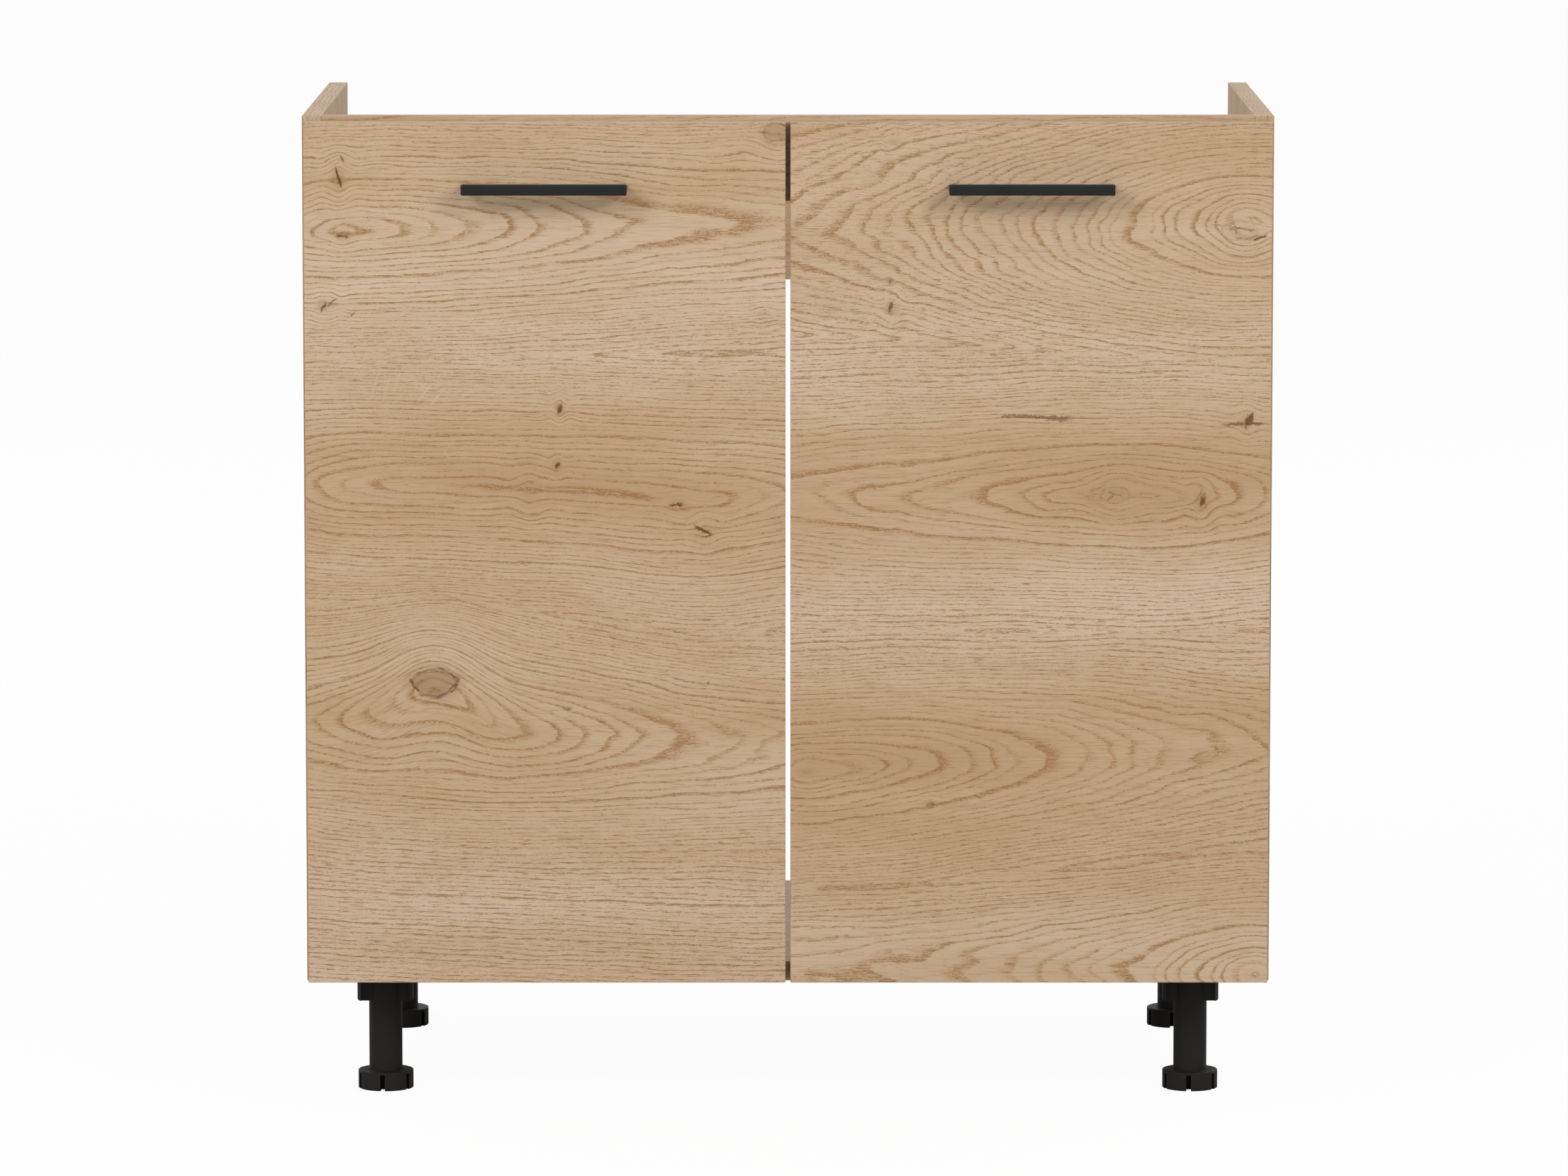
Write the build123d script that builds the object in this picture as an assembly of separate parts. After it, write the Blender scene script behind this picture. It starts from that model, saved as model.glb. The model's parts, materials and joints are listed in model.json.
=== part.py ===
from build123d import *
import math
import os

# Sink base cabinet: an open-backed carcass on four levelling legs, closed by two overlay doors.
# Millimetres, +Z up, front towards -Y. The origin is on the floor, under the middle of the
# overall size, handles included.

# Carcass boards
cabinet_width = 800.0
carcass_depth = 440.0
carcass_height = 720.0
board = 16.0
board_edge_round = 0.5

# Rails on edge between the side panels
front_rail_height = 70.0
rear_rail_height = 100.0
rear_rail_drop = 71.0

# Doors
door_board = 16.0
door_standoff = 2.0
side_reveal = 2.0
centre_gap = 4.0
top_reveal = 4.0
bottom_reveal = 1.0
door_edge_round = 0.8

# Handles: a slim bar on two feet
handle_centres = 128.0
handle_foot_width = 8.0
handle_foot_height = 6.0
handle_bar_height = 9.0
handle_bar_depth = 9.0
handle_projection = 27.0
handle_drop = 54.0
handle_corner_round = 2.0
handle_edge_round = 1.2
handle_thread_depth = 12.0

# Handle screws
handle_screw_radius = 2.0
handle_screw_head_radius = 4.0
handle_screw_head_height = 2.2
handle_screw_head_recess = 1.2
handle_screw_engagement = 11.0

# Door bumpers
bumper_radius = 4.0
bumper_gap = 0.3
bumper_inset = 14.0

# Carcass joinery
dowel_radius = 4.0
dowel_length = 30.0
dowel_depth_in_side = 10.0
cam_radius = 7.5
cam_height = 12.5
cam_setback = 24.0
bolt_radius = 2.0
bolt_head_radius = 3.0
bolt_head_length = 4.0
bolt_thread_radius = 2.5
bolt_thread_length = 11.0
bolt_bore_radius = 3.6
joint_inset = 60.0
dowel_to_cam = 32.0
rail_joint_inset = 20.0

# Cross recess of the cam discs and of the hinges' adjusting screws
recess_width = 1.2
recess_depth = 1.5
cam_recess_length = 9.0
adjuster_recess_length = 3.8

# Legs
leg_height = 100.0
leg_side_inset = 62.5
leg_front_inset = 57.0
leg_back_inset = 71.0
flange_side = 60.0
flange_thickness = 4.0
flange_corner = 8.0
flange_screw_spacing = 44.0
socket_drop = 25.0
socket_tube_radius = 15.2
socket_ring_radius = 23.65
socket_ring_wall = 2.2
socket_window = 40.0
socket_web = 2.4
socket_web_front = 10.4
column_radius = 13.9
column_wall = 3.4
foot_radius = 23.1
foot_height = 15.5
foot_edge_round = 0.8
foot_slots = 6
foot_slot_width = 4.0
foot_slot_depth = 10.0
foot_slot_top = 2.0
foot_slot_angle = -95.0
stem_length = 66.0
stem_chamfer = 1.0
leg_screw_radius = 1.75
leg_screw_head_radius = 3.6
leg_screw_head_height = 1.8
leg_screw_head_round = 1.0
leg_screw_length = 14.0

# Hinges: cup
hinge_inset = 98.0
cup_centre = 22.5
cup_radius = 17.4
cup_depth = 13.0
cup_wall = 1.2
cup_floor = 0.8
cup_flange = 1.0
cup_flange_radius = 19.0
cup_wing_width = 13.0
cup_wing_length = 58.0
cup_wing_corner = 4.3
cup_screw_offset = 9.5
cup_screw_spacing = 45.0
cup_screw_radius = 1.75
cup_screw_head_radius = 3.2
cup_screw_length = 11.0
cup_boss_width = 13.0
cup_notch_width = 3.0
cup_pin_overhang = 1.0

# Hinges: pivots, measured inwards from the cup's centre and backwards from the door's back face
main_fixed_pivot = (10.1, 14.0)
main_bend = (-5.5, -6.35)
main_door_pivot = (-12.9, -3.3)
second_fixed_pivot = (10.0, -9.5)
second_door_pivot = (-9.1, -8.4)
second_hook_centre = (-9.85, -9.5)

# Hinges: links and arm, as half widths either side of the hinge's middle
link_half_thickness = 1.25
main_eye_radius = 2.2
second_eye_radius = 2.2
hook_radius = 3.6
hook_hole_radius = 2.7
second_half_width = 3.0
main_inner_half_width = 3.3
main_outer_half_width = 5.0
arm_inner_half_width = 5.3
arm_outer_half_width = 6.8
main_pin_radius = 1.1
second_pin_radius = 1.0
main_web_span = (0.25, 0.6)

# Hinges: mounting plate and arm on the side panel
plate_setback = 37.0
plate_wing = 2.5
plate_wing_length = 46.0
plate_wing_width = 20.0
plate_wing_corner = 5.0
plate_rail_height = 10.0
plate_rail_start = 22.0
arm_length = 68.0
arm_height = 12.5
arm_sheet = 1.5
arm_heel = 1.0
plate_screw_spacing = 32.0
plate_screw_radius = 2.5
plate_screw_head_radius = 4.2
plate_screw_head_height = 2.0
plate_screw_length = 11.0
adjuster_radius = 2.5
adjuster_places = (16.0, 40.0)

# Clearances
fixed_fit = 0.03
running_fit = 0.05
moving_gap = 0.3

# Worked out from the sizes above
half_width = cabinet_width / 2
overall_depth = carcass_depth + door_standoff + door_board + handle_projection
door_front = handle_projection - overall_depth / 2
door_back = door_front + door_board
carcass_front = door_back + door_standoff
carcass_back = carcass_front + carcass_depth
carcass_bottom = leg_height
carcass_top = leg_height + carcass_height
inner_half_width = half_width - board
door_outer = half_width - side_reveal
door_inner = centre_gap / 2
door_low = carcass_bottom + bottom_reveal
door_high = carcass_top - top_reveal
door_middle = (door_outer + door_inner) / 2
handle_height = door_high - handle_drop
rear_rail_top = carcass_top - rear_rail_drop
hinge_heights = {"upper": door_high - hinge_inset, "lower": door_low + hinge_inset}
panel_inner = board - side_reveal
panel_front = door_board + door_standoff

CENTRE_LOW = (Align.CENTER, Align.CENTER, Align.MIN)


def block(x_span, y_span, z_span):
    sizes = [high - low for low, high in (x_span, y_span, z_span)]
    middle = [(high + low) / 2 for low, high in (x_span, y_span, z_span)]
    return Pos(*middle) * Box(*sizes)


def rod(start, direction, radius, length):
    return Plane(origin=start, z_dir=direction) * Cylinder(radius, length, align=CENTRE_LOW)


def cross_recess(start, direction, length):
    bar = Box(length, recess_width, 2 * recess_depth)
    return Plane(origin=start, z_dir=direction) * (bar + Rot(0, 0, 90) * bar)


def outline(points, low, high):
    face = make_face(Polyline(*points, close=True))
    return Pos(0, 0, low) * extrude(face, high - low)


def strap(points, low, high):
    shape = None
    for start, end in zip(points, points[1:]):
        middle = ((start[0] + end[0]) / 2, (start[1] + end[1]) / 2)
        turn = math.degrees(math.atan2(end[1] - start[1], end[0] - start[0]))
        slot = SlotCenterToCenter(math.dist(start, end), 2 * link_half_thickness)
        piece = Pos(middle[0], middle[1], low) * Rot(0, 0, turn) * extrude(slot, high - low)
        shape = piece if shape is None else shape + piece
    return shape


def both_ends(shape):
    return shape + mirror(shape, about=Plane.XY)


def mirrored(shape):
    return mirror(shape, about=Plane.YZ)


def save(name, shape):
    solids = list(shape.solids())
    export_step(solids[0] if len(solids) == 1 else Compound(children=solids), f"parts/{name}.step")


# Carcass joints: each one is a place on the inner face of the left side panel (y, z),
# with the direction its cam disc is let in from

def carcass_joints():
    middle = board / 2
    bottom_z = carcass_bottom + middle
    front_y = carcass_front + middle
    back_y = carcass_back - middle
    rail_low = carcass_top - front_rail_height + rail_joint_inset
    rear_low = rear_rail_top - rear_rail_height + rail_joint_inset
    cams = [
        (carcass_front + joint_inset, bottom_z, (0, 0, 1)),
        (carcass_back - joint_inset, bottom_z, (0, 0, 1)),
        (front_y, rail_low, (0, -1, 0)),
        (back_y, rear_low, (0, 1, 0)),
    ]
    dowels = [
        (carcass_front + joint_inset + dowel_to_cam, bottom_z),
        (carcass_back - joint_inset - dowel_to_cam, bottom_z),
        (front_y, rail_low + dowel_to_cam),
        (back_y, rear_low + dowel_to_cam),
        (back_y, rear_low + 2 * dowel_to_cam - dowel_radius),
    ]
    return cams, dowels


def cam_centre(y, z, push):
    # The disc lies flush with the board's hidden face and is let in along push
    offset = board / 2
    x = -inner_half_width + cam_setback
    return (x, y - push[1] * offset, z - push[2] * offset)


def joint_cutters():
    cams, dowels = carcass_joints()
    cutters = []
    for y, z, push in cams:
        cutters.append(rod(cam_centre(y, z, push), push, cam_radius + fixed_fit, cam_height + fixed_fit))
        bore = bolt_bore_radius + fixed_fit
        cutters.append(rod((-inner_half_width, y, z), (1, 0, 0), bore, cam_setback))
        thread = bolt_thread_radius + fixed_fit
        cutters.append(rod((-inner_half_width, y, z), (-1, 0, 0), thread, bolt_thread_length + fixed_fit))
    for y, z in dowels:
        start = (-inner_half_width - dowel_depth_in_side - fixed_fit, y, z)
        length = dowel_length + 2 * fixed_fit
        cutters.append(rod(start, (1, 0, 0), dowel_radius + fixed_fit, length))
    return cutters


def joint_hardware():
    cams, dowels = carcass_joints()
    discs, bolts, pegs = [], [], []
    for y, z, push in cams:
        face = (-inner_half_width, y, z)
        thread = rod(face, (-1, 0, 0), bolt_thread_radius, bolt_thread_length)
        shank = rod(face, (1, 0, 0), bolt_radius, cam_setback)
        head_start = (-inner_half_width + cam_setback - bolt_head_length, y, z)
        head = rod(head_start, (1, 0, 0), bolt_head_radius, bolt_head_length)
        bolts.append(thread + shank + head)
        disc = rod(cam_centre(y, z, push), push, cam_radius, cam_height)
        slot_length = cam_setback + fixed_fit
        slot = rod(face, (1, 0, 0), bolt_head_radius + fixed_fit, slot_length)
        recess = cross_recess(cam_centre(y, z, push), push, cam_recess_length)
        discs.append(disc - [slot, recess])
    for y, z in dowels:
        peg = rod((-inner_half_width - dowel_depth_in_side, y, z), (1, 0, 0), dowel_radius, dowel_length)
        pegs.append(peg)
    return discs, bolts, pegs


def leg_places():
    x = half_width - leg_side_inset
    front = carcass_front + leg_front_inset
    back = carcass_back - leg_back_inset
    return {
        "front_left": (-x, front),
        "front_right": (x, front),
        "rear_left": (-x, back),
        "rear_right": (x, back),
    }


def leg_screw_places(x, y):
    half = flange_screw_spacing / 2
    return [(x + i * half, y + j * half) for i in (-1, 1) for j in (-1, 1)]


def rounded_board(x_span, y_span, z_span, radius):
    shape = block(x_span, y_span, z_span)
    return fillet(shape.edges(), radius)


def carcass_boards():
    cutters = joint_cutters()
    right_cutters = [mirrored(cutter) for cutter in cutters]
    depth = (carcass_front, carcass_back)
    height_span = (carcass_bottom, carcass_top)
    side = rounded_board((-half_width, -inner_half_width), depth, height_span, board_edge_round)
    side -= cutters
    for height in hinge_heights.values():
        for end in (-1, 1):
            hole_z = height + end * plate_screw_spacing / 2
            start = (-inner_half_width, carcass_front + plate_setback, hole_z)
            radius = plate_screw_radius + fixed_fit
            side -= rod(start, (-1, 0, 0), radius, plate_screw_length + fixed_fit)
    between = (-inner_half_width, inner_half_width)
    bottom = block(between, depth, (carcass_bottom, carcass_bottom + board))
    bottom -= cutters + right_cutters
    for x, y in leg_places().values():
        for place in leg_screw_places(x, y):
            depth_in_board = leg_screw_length - flange_thickness + fixed_fit
            bottom -= rod((*place, carcass_bottom), (0, 0, 1), leg_screw_radius + fixed_fit, depth_in_board)
    front = block(
        between,
        (carcass_front, carcass_front + board),
        (carcass_top - front_rail_height, carcass_top),
    )
    rear = block(
        between,
        (carcass_back - board, carcass_back),
        (rear_rail_top - rear_rail_height, rear_rail_top),
    )
    return {
        "side_panel_left": side,
        "side_panel_right": mirrored(side),
        "bottom_panel": bottom,
        "front_rail": front - (cutters + right_cutters),
        "rear_rail": rear - (cutters + right_cutters),
    }


def leg_socket(x, y):
    top = carcass_bottom
    low = carcass_bottom - socket_drop
    plate = extrude(RectangleRounded(flange_side, flange_side, flange_corner), flange_thickness)
    shape = Pos(x, y, top - flange_thickness) * plate
    shape += rod((x, y, low), (0, 0, 1), socket_tube_radius, socket_drop)
    disc = rod((x, y, low), (0, 0, 1), socket_ring_radius, socket_drop)
    ring = disc - rod((x, y, low), (0, 0, 1), socket_ring_radius - socket_ring_wall, socket_drop)
    ring -= block(
        (x - socket_window / 2, x + socket_window / 2),
        (y - flange_side / 2, y + flange_side / 2),
        (low, top - flange_thickness),
    )
    shape += ring
    for front in (-socket_web_front, socket_web_front - socket_web):
        web_span = (x - socket_ring_radius, x + socket_ring_radius)
        shape += disc & block(web_span, (y + front, y + front + socket_web), (low, top))
    shape -= rod((x, y, low), (0, 0, 1), column_radius + fixed_fit, socket_drop)
    for place in leg_screw_places(x, y):
        start = (*place, top - flange_thickness)
        shape -= rod(start, (0, 0, 1), leg_screw_radius + fixed_fit, flange_thickness)
    return shape


def leg_column(x, y):
    shape = rod((x, y, foot_height), (0, 0, 1), column_radius, carcass_bottom - foot_height)
    bore = column_radius - column_wall + running_fit
    return shape - rod((x, y, foot_height), (0, 0, 1), bore, stem_length + moving_gap)


def leg_foot(x, y):
    base = Pos(x, y, 0) * Cylinder(foot_radius, foot_height, align=CENTRE_LOW)
    rims = base.edges().filter_by(GeomType.CIRCLE)
    base = fillet(rims, foot_edge_round)
    slot = block(
        (foot_radius - foot_slot_depth, foot_radius + foot_slot_depth),
        (-foot_slot_width / 2, foot_slot_width / 2),
        (0, foot_height - foot_slot_top),
    )
    for turn in range(foot_slots):
        angle = foot_slot_angle + turn * 360 / foot_slots
        base -= Pos(x, y, 0) * Rot(0, 0, angle) * slot
    stem = rod((x, y, foot_height), (0, 0, 1), column_radius - column_wall, stem_length)
    stem = chamfer(stem.edges().group_by(Axis.Z)[-1], stem_chamfer)
    return base + stem


def leg_screws():
    screws = []
    for x, y in leg_places().values():
        for place in leg_screw_places(x, y):
            start = (*place, carcass_bottom - flange_thickness)
            shank = rod(start, (0, 0, 1), leg_screw_radius, leg_screw_length)
            head = rod(start, (0, 0, -1), leg_screw_head_radius, leg_screw_head_height)
            screws.append(shank + fillet(head.edges().group_by(Axis.Z)[0], leg_screw_head_round))
    return screws


# Hinge pieces are drawn beside the left door: first number inwards from the door's outer edge,
# second number backwards from the door's front face, third number up from the hinge's middle

def at_pivot(pivot):
    return (cup_centre + pivot[0], door_board + pivot[1])


def pin(pivot, radius, low, high):
    u, w = at_pivot(pivot)
    return rod((u, w, low), (0, 0, 1), radius, high - low)


def cup_body():
    return rod((cup_centre, door_board, 0), (0, -1, 0), cup_radius, cup_depth)


def cup_screw_places():
    u = cup_centre + cup_screw_offset
    return [(u, end * cup_screw_spacing / 2) for end in (-1, 1)]


def hinge_cup():
    floor = door_board - cup_depth + cup_floor
    flange = rod((cup_centre, door_board, 0), (0, 1, 0), cup_flange_radius, cup_flange)
    wing = extrude(RectangleRounded(cup_wing_width, cup_wing_length, cup_wing_corner), cup_flange)
    wing_place = Plane(
        origin=(cup_centre + cup_screw_offset, door_board, 0), x_dir=(1, 0, 0), z_dir=(0, 1, 0)
    )
    shape = cup_body() + flange + wing_place * wing
    top = door_board + cup_flange
    cavity = rod((cup_centre, floor, 0), (0, 1, 0), cup_radius - cup_wall, top - floor)
    shape -= cavity
    edge = cup_centre - cup_radius
    half = arm_inner_half_width
    boss = block((0, edge + cup_boss_width), (floor, door_board), (half, cup_radius))
    shape += both_ends(boss & cup_body())
    shape -= block((0, edge + cup_notch_width), (door_board, panel_front), (-half, half))
    reach = cup_pin_reach()
    for pivot, radius in ((main_door_pivot, main_pin_radius), (second_door_pivot, second_pin_radius)):
        shape -= pin(pivot, radius + fixed_fit, -reach, reach)
    for u, h in cup_screw_places():
        shape -= rod((u, door_board, h), (0, 1, 0), cup_screw_radius + fixed_fit, cup_flange)
    return shape


def cup_pin_reach():
    return arm_outer_half_width + cup_pin_overhang


def hinge_cup_pins():
    reach = cup_pin_reach()
    stub = pin(main_door_pivot, main_pin_radius, main_inner_half_width, reach)
    return [stub, mirror(stub, about=Plane.XY), pin(second_door_pivot, second_pin_radius, -reach, reach)]


def hinge_arm_pins():
    reach = arm_outer_half_width
    stub = pin(main_fixed_pivot, main_pin_radius, main_inner_half_width, reach)
    return [stub, mirror(stub, about=Plane.XY), pin(second_fixed_pivot, second_pin_radius, -reach, reach)]


def hinge_main_link():
    points = [at_pivot(main_fixed_pivot), at_pivot(main_bend), at_pivot(main_door_pivot)]
    low, high = main_inner_half_width, main_outer_half_width
    cheek = strap(points, low, high)
    for pivot in (main_fixed_pivot, main_door_pivot):
        cheek += pin(pivot, main_eye_radius, low, high)
        cheek -= pin(pivot, main_pin_radius + running_fit, low, high)
    start, end = points[0], points[1]
    web_points = [
        tuple(a + (b - a) * share for a, b in zip(start, end)) for share in main_web_span
    ]
    return both_ends(cheek) + strap(web_points, -low, low)


def hinge_second_link():
    width = second_half_width
    hook_u, hook_w = at_pivot(second_hook_centre)
    shape = strap([at_pivot(second_fixed_pivot), (hook_u, hook_w)], -width, width)
    shape += pin(second_fixed_pivot, second_eye_radius, -width, width)
    shape += pin(second_hook_centre, hook_radius, -width, width)
    shape -= pin(second_fixed_pivot, second_pin_radius + running_fit, -width, width)
    shape -= pin(second_hook_centre, hook_hole_radius, -width, width)
    floor = door_board - cup_depth + cup_floor + moving_gap
    return shape - block((0, hook_u + hook_radius), (floor - hook_radius, floor), (-width, width))


def hinge_arm():
    main_u, main_w = at_pivot(main_fixed_pivot)
    second_u, second_w = at_pivot(second_fixed_pivot)
    top = panel_inner + arm_height
    low = panel_inner + plate_wing + moving_gap
    back = panel_front + arm_length + moving_gap
    shoulder = main_w + arm_height
    points = [
        (low, back),
        (top, back),
        (top, shoulder),
        (main_u + main_eye_radius, main_w),
        (second_u + second_eye_radius, second_w),
        (second_u - second_eye_radius, second_w),
        (main_u - main_eye_radius - arm_heel, main_w - main_eye_radius),
        (low, shoulder - arm_sheet),
    ]
    inner, outer = arm_inner_half_width, arm_outer_half_width
    cheek = outline(points, inner, outer)
    for pivot, radius in ((main_fixed_pivot, main_eye_radius), (second_fixed_pivot, second_eye_radius)):
        cheek += pin(pivot, radius, inner, outer)
    shape = both_ends(cheek)
    shape += block((top - arm_sheet, top), (shoulder, back), (-inner, inner))
    for pivot, radius in ((main_fixed_pivot, main_pin_radius), (second_fixed_pivot, second_pin_radius)):
        shape -= pin(pivot, radius + fixed_fit, -outer, outer)
    for place in adjuster_places:
        start = (top - arm_sheet, panel_front + place + plate_rail_start, 0)
        shape -= rod(start, (1, 0, 0), adjuster_radius + fixed_fit, arm_sheet)
    return shape


def hinge_plate():
    rail_half = arm_inner_half_width - moving_gap
    rail = block(
        (panel_inner, panel_inner + plate_rail_height),
        (panel_front + plate_rail_start, panel_front + arm_length),
        (-rail_half, rail_half),
    )
    middle = panel_front + plate_setback
    wing = block(
        (panel_inner, panel_inner + plate_wing),
        (middle - plate_wing_width / 2, middle + plate_wing_width / 2),
        (-plate_wing_length / 2, plate_wing_length / 2),
    )
    wing = fillet(wing.edges().filter_by(Axis.X), plate_wing_corner)
    shape = rail + wing
    for end in (-1, 1):
        start = (panel_inner, middle, end * plate_screw_spacing / 2)
        shape -= rod(start, (1, 0, 0), plate_screw_radius + fixed_fit, plate_wing)
    for place in adjuster_places:
        start = (panel_inner + plate_wing, panel_front + place + plate_rail_start, 0)
        shape -= rod(start, (1, 0, 0), adjuster_radius + fixed_fit, plate_rail_height)
    return shape


def hinge_plate_screws():
    screws = []
    for end in (-1, 1):
        h = end * plate_screw_spacing / 2
        w = panel_front + plate_setback
        start = (panel_inner + plate_wing, w, h)
        shank = rod(start, (-1, 0, 0), plate_screw_radius, plate_screw_length + plate_wing)
        head = rod(start, (1, 0, 0), plate_screw_head_radius, plate_screw_head_height)
        screws.append(shank + head)
    return screws


def hinge_adjusters():
    screws = []
    for place in adjuster_places:
        start = (panel_inner + plate_wing, panel_front + place + plate_rail_start, 0)
        length = arm_height - plate_wing
        end = (start[0] + length, start[1], start[2])
        screw = rod(start, (1, 0, 0), adjuster_radius, length)
        screws.append(screw - cross_recess(end, (1, 0, 0), adjuster_recess_length))
    return screws


def hinge_cup_screws():
    screws = []
    for u, h in cup_screw_places():
        start = (u, door_board + cup_flange, h)
        shank = rod(start, (0, -1, 0), cup_screw_radius, cup_screw_length)
        head = rod(start, (0, 1, 0), cup_screw_head_radius, door_standoff - cup_flange - moving_gap)
        screws.append(shank + head)
    return screws


def on_left(shape, height):
    return Pos(-door_outer, door_front, height) * shape


def door():
    shape = block((-door_outer, -door_inner), (door_front, door_back), (door_low, door_high))
    shape = fillet(shape.edges(), door_edge_round)
    for height in hinge_heights.values():
        bore = rod((cup_centre, door_board, 0), (0, -1, 0), cup_radius + fixed_fit, cup_depth + fixed_fit)
        shape -= on_left(bore, height)
        for u, h in cup_screw_places():
            depth = cup_screw_length - cup_flange + fixed_fit
            hole = rod((u, door_board, h), (0, -1, 0), cup_screw_radius + fixed_fit, depth)
            shape -= on_left(hole, height)
    for x in handle_screw_places():
        shape -= rod((x, door_front, handle_height), (0, 1, 0), handle_screw_radius + fixed_fit, door_board)
        start = (x, door_back - handle_screw_head_recess, handle_height)
        radius = handle_screw_head_radius + fixed_fit
        shape -= rod(start, (0, 1, 0), radius, handle_screw_head_recess)
    return shape


def handle_screw_places():
    return [-door_middle + end * handle_centres / 2 for end in (-1, 1)]


def handle():
    half_length = (handle_centres + handle_foot_width) / 2
    half_height = handle_bar_height / 2
    bar_span = (-handle_projection, handle_bar_depth - handle_projection)
    shape = block((-half_length, half_length), bar_span, (-half_height, half_height))
    shape = fillet(shape.edges().filter_by(Axis.Z).group_by(Axis.Y)[0], handle_corner_round)
    levels = shape.faces().sort_by(Axis.Z)
    shape = fillet(levels[0].edges() + levels[-1].edges(), handle_edge_round)
    for end in (-1, 1):
        middle = end * handle_centres / 2
        foot_width = (middle - handle_foot_width / 2, middle + handle_foot_width / 2)
        foot_reach = (handle_bar_depth / 2 - handle_projection, 0)
        foot = block(foot_width, foot_reach, (-handle_foot_height / 2, handle_foot_height / 2))
        shape += fillet(foot.edges().filter_by(Axis.Y), handle_edge_round)
        shape -= rod((middle, 0, 0), (0, -1, 0), handle_screw_radius + fixed_fit, handle_thread_depth)
    return Pos(-door_middle, door_front, handle_height) * shape


def handle_screws():
    screws = []
    for x in handle_screw_places():
        start = (x, door_back - handle_screw_head_recess, handle_height)
        length = door_board - handle_screw_head_recess + handle_screw_engagement
        shank = rod(start, (0, -1, 0), handle_screw_radius, length)
        head = rod(start, (0, 1, 0), handle_screw_head_radius, handle_screw_head_height)
        screws.append(shank + head)
    return screws


def bumpers():
    heights = (carcass_bottom + board / 2, carcass_top - front_rail_height / 2)
    thickness = door_standoff - bumper_gap
    x = -door_inner - bumper_inset
    return [rod((x, door_back, z), (0, 1, 0), bumper_radius, thickness) for z in heights]


def main():
    os.makedirs("parts", exist_ok=True)
    for name, shape in carcass_boards().items():
        save(name, shape)
    discs, bolts, pegs = joint_hardware()
    for name, shapes in (("cam_discs", discs), ("cam_bolts", bolts), ("wood_dowels", pegs)):
        save(name, Compound(children=shapes + [mirrored(shape) for shape in shapes]))

    for place, (x, y) in leg_places().items():
        save(f"leg_socket_{place}", leg_socket(x, y))
        save(f"leg_column_{place}", leg_column(x, y))
        save(f"leg_foot_{place}", leg_foot(x, y))
    save("leg_screws", Compound(children=leg_screws()))

    single = {
        "hinge_plate": hinge_plate(),
        "hinge_arm": hinge_arm(),
        "hinge_cup": hinge_cup(),
        "hinge_main_link": hinge_main_link(),
        "hinge_second_link": hinge_second_link(),
    }
    for level, height in hinge_heights.items():
        for name, shape in single.items():
            left = on_left(shape, height)
            save(f"{name}_{level}_left", left)
            save(f"{name}_{level}_right", mirrored(left))

    def at_all_hinges(shapes):
        return [on_left(shape, height) for height in hinge_heights.values() for shape in shapes]

    carcass_sets = {
        "hinge_arm_pins": at_all_hinges(hinge_arm_pins()),
        "hinge_plate_screws": at_all_hinges(hinge_plate_screws()),
        "hinge_adjusters": at_all_hinges(hinge_adjusters()),
    }
    for name, shapes in carcass_sets.items():
        save(name, Compound(children=shapes + [mirrored(shape) for shape in shapes]))

    door_sets = {
        "door": door(),
        "handle": handle(),
        "handle_screws": Compound(children=handle_screws()),
        "door_bumpers": Compound(children=bumpers()),
        "hinge_cup_pins": Compound(children=at_all_hinges(hinge_cup_pins())),
        "hinge_cup_screws": Compound(children=at_all_hinges(hinge_cup_screws())),
    }
    for name, shape in door_sets.items():
        save(f"{name}_left", shape)
        save(f"{name}_right", mirrored(shape))


main()
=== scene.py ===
import bpy, bmesh
import json
import math
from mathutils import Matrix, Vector


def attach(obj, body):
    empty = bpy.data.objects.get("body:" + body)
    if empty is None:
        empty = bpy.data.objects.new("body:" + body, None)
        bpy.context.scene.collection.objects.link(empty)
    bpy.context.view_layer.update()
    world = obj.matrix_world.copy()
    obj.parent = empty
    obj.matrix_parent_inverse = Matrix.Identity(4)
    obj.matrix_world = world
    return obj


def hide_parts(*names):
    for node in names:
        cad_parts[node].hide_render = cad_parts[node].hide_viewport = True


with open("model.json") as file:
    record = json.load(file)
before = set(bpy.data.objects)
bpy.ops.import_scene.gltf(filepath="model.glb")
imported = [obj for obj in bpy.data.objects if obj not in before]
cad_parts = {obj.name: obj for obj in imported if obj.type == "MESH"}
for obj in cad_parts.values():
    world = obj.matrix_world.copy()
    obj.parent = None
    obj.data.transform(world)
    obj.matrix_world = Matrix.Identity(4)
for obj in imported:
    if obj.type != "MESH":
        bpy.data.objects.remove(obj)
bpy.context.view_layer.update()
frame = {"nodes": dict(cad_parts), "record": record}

scene = bpy.context.scene
mm = 0.001


# small helpers for node trees

def addNode(tree, kind, inputs=None, **settings):
    node = tree.nodes.new(kind)
    for key, value in settings.items():
        setattr(node, key, value)
    for key, value in (inputs or {}).items():
        if isinstance(value, bpy.types.NodeSocket):
            tree.links.new(value, node.inputs[key])
        else:
            node.inputs[key].default_value = value
    return node


def calc(tree, operation, *values):
    return addNode(tree, "ShaderNodeMath", dict(enumerate(values)), operation=operation).outputs[0]


def chain(tree, operation, first, *others):  # one operation over several values in turn
    for other in others:
        first = calc(tree, operation, first, other)
    return first


def ramp(tree, value, low, high, start=0.0, end=1.0):  # smooth step between low and high
    inputs = dict(enumerate((value, low, high, start, end)))
    return addNode(tree, "ShaderNodeMapRange", inputs, interpolation_type="SMOOTHSTEP").outputs[0]


def blendColour(tree, amount, first, second):
    inputs = {0: amount, 6: first, 7: second}
    return addNode(tree, "ShaderNodeMix", inputs, data_type="RGBA").outputs[2]


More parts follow.
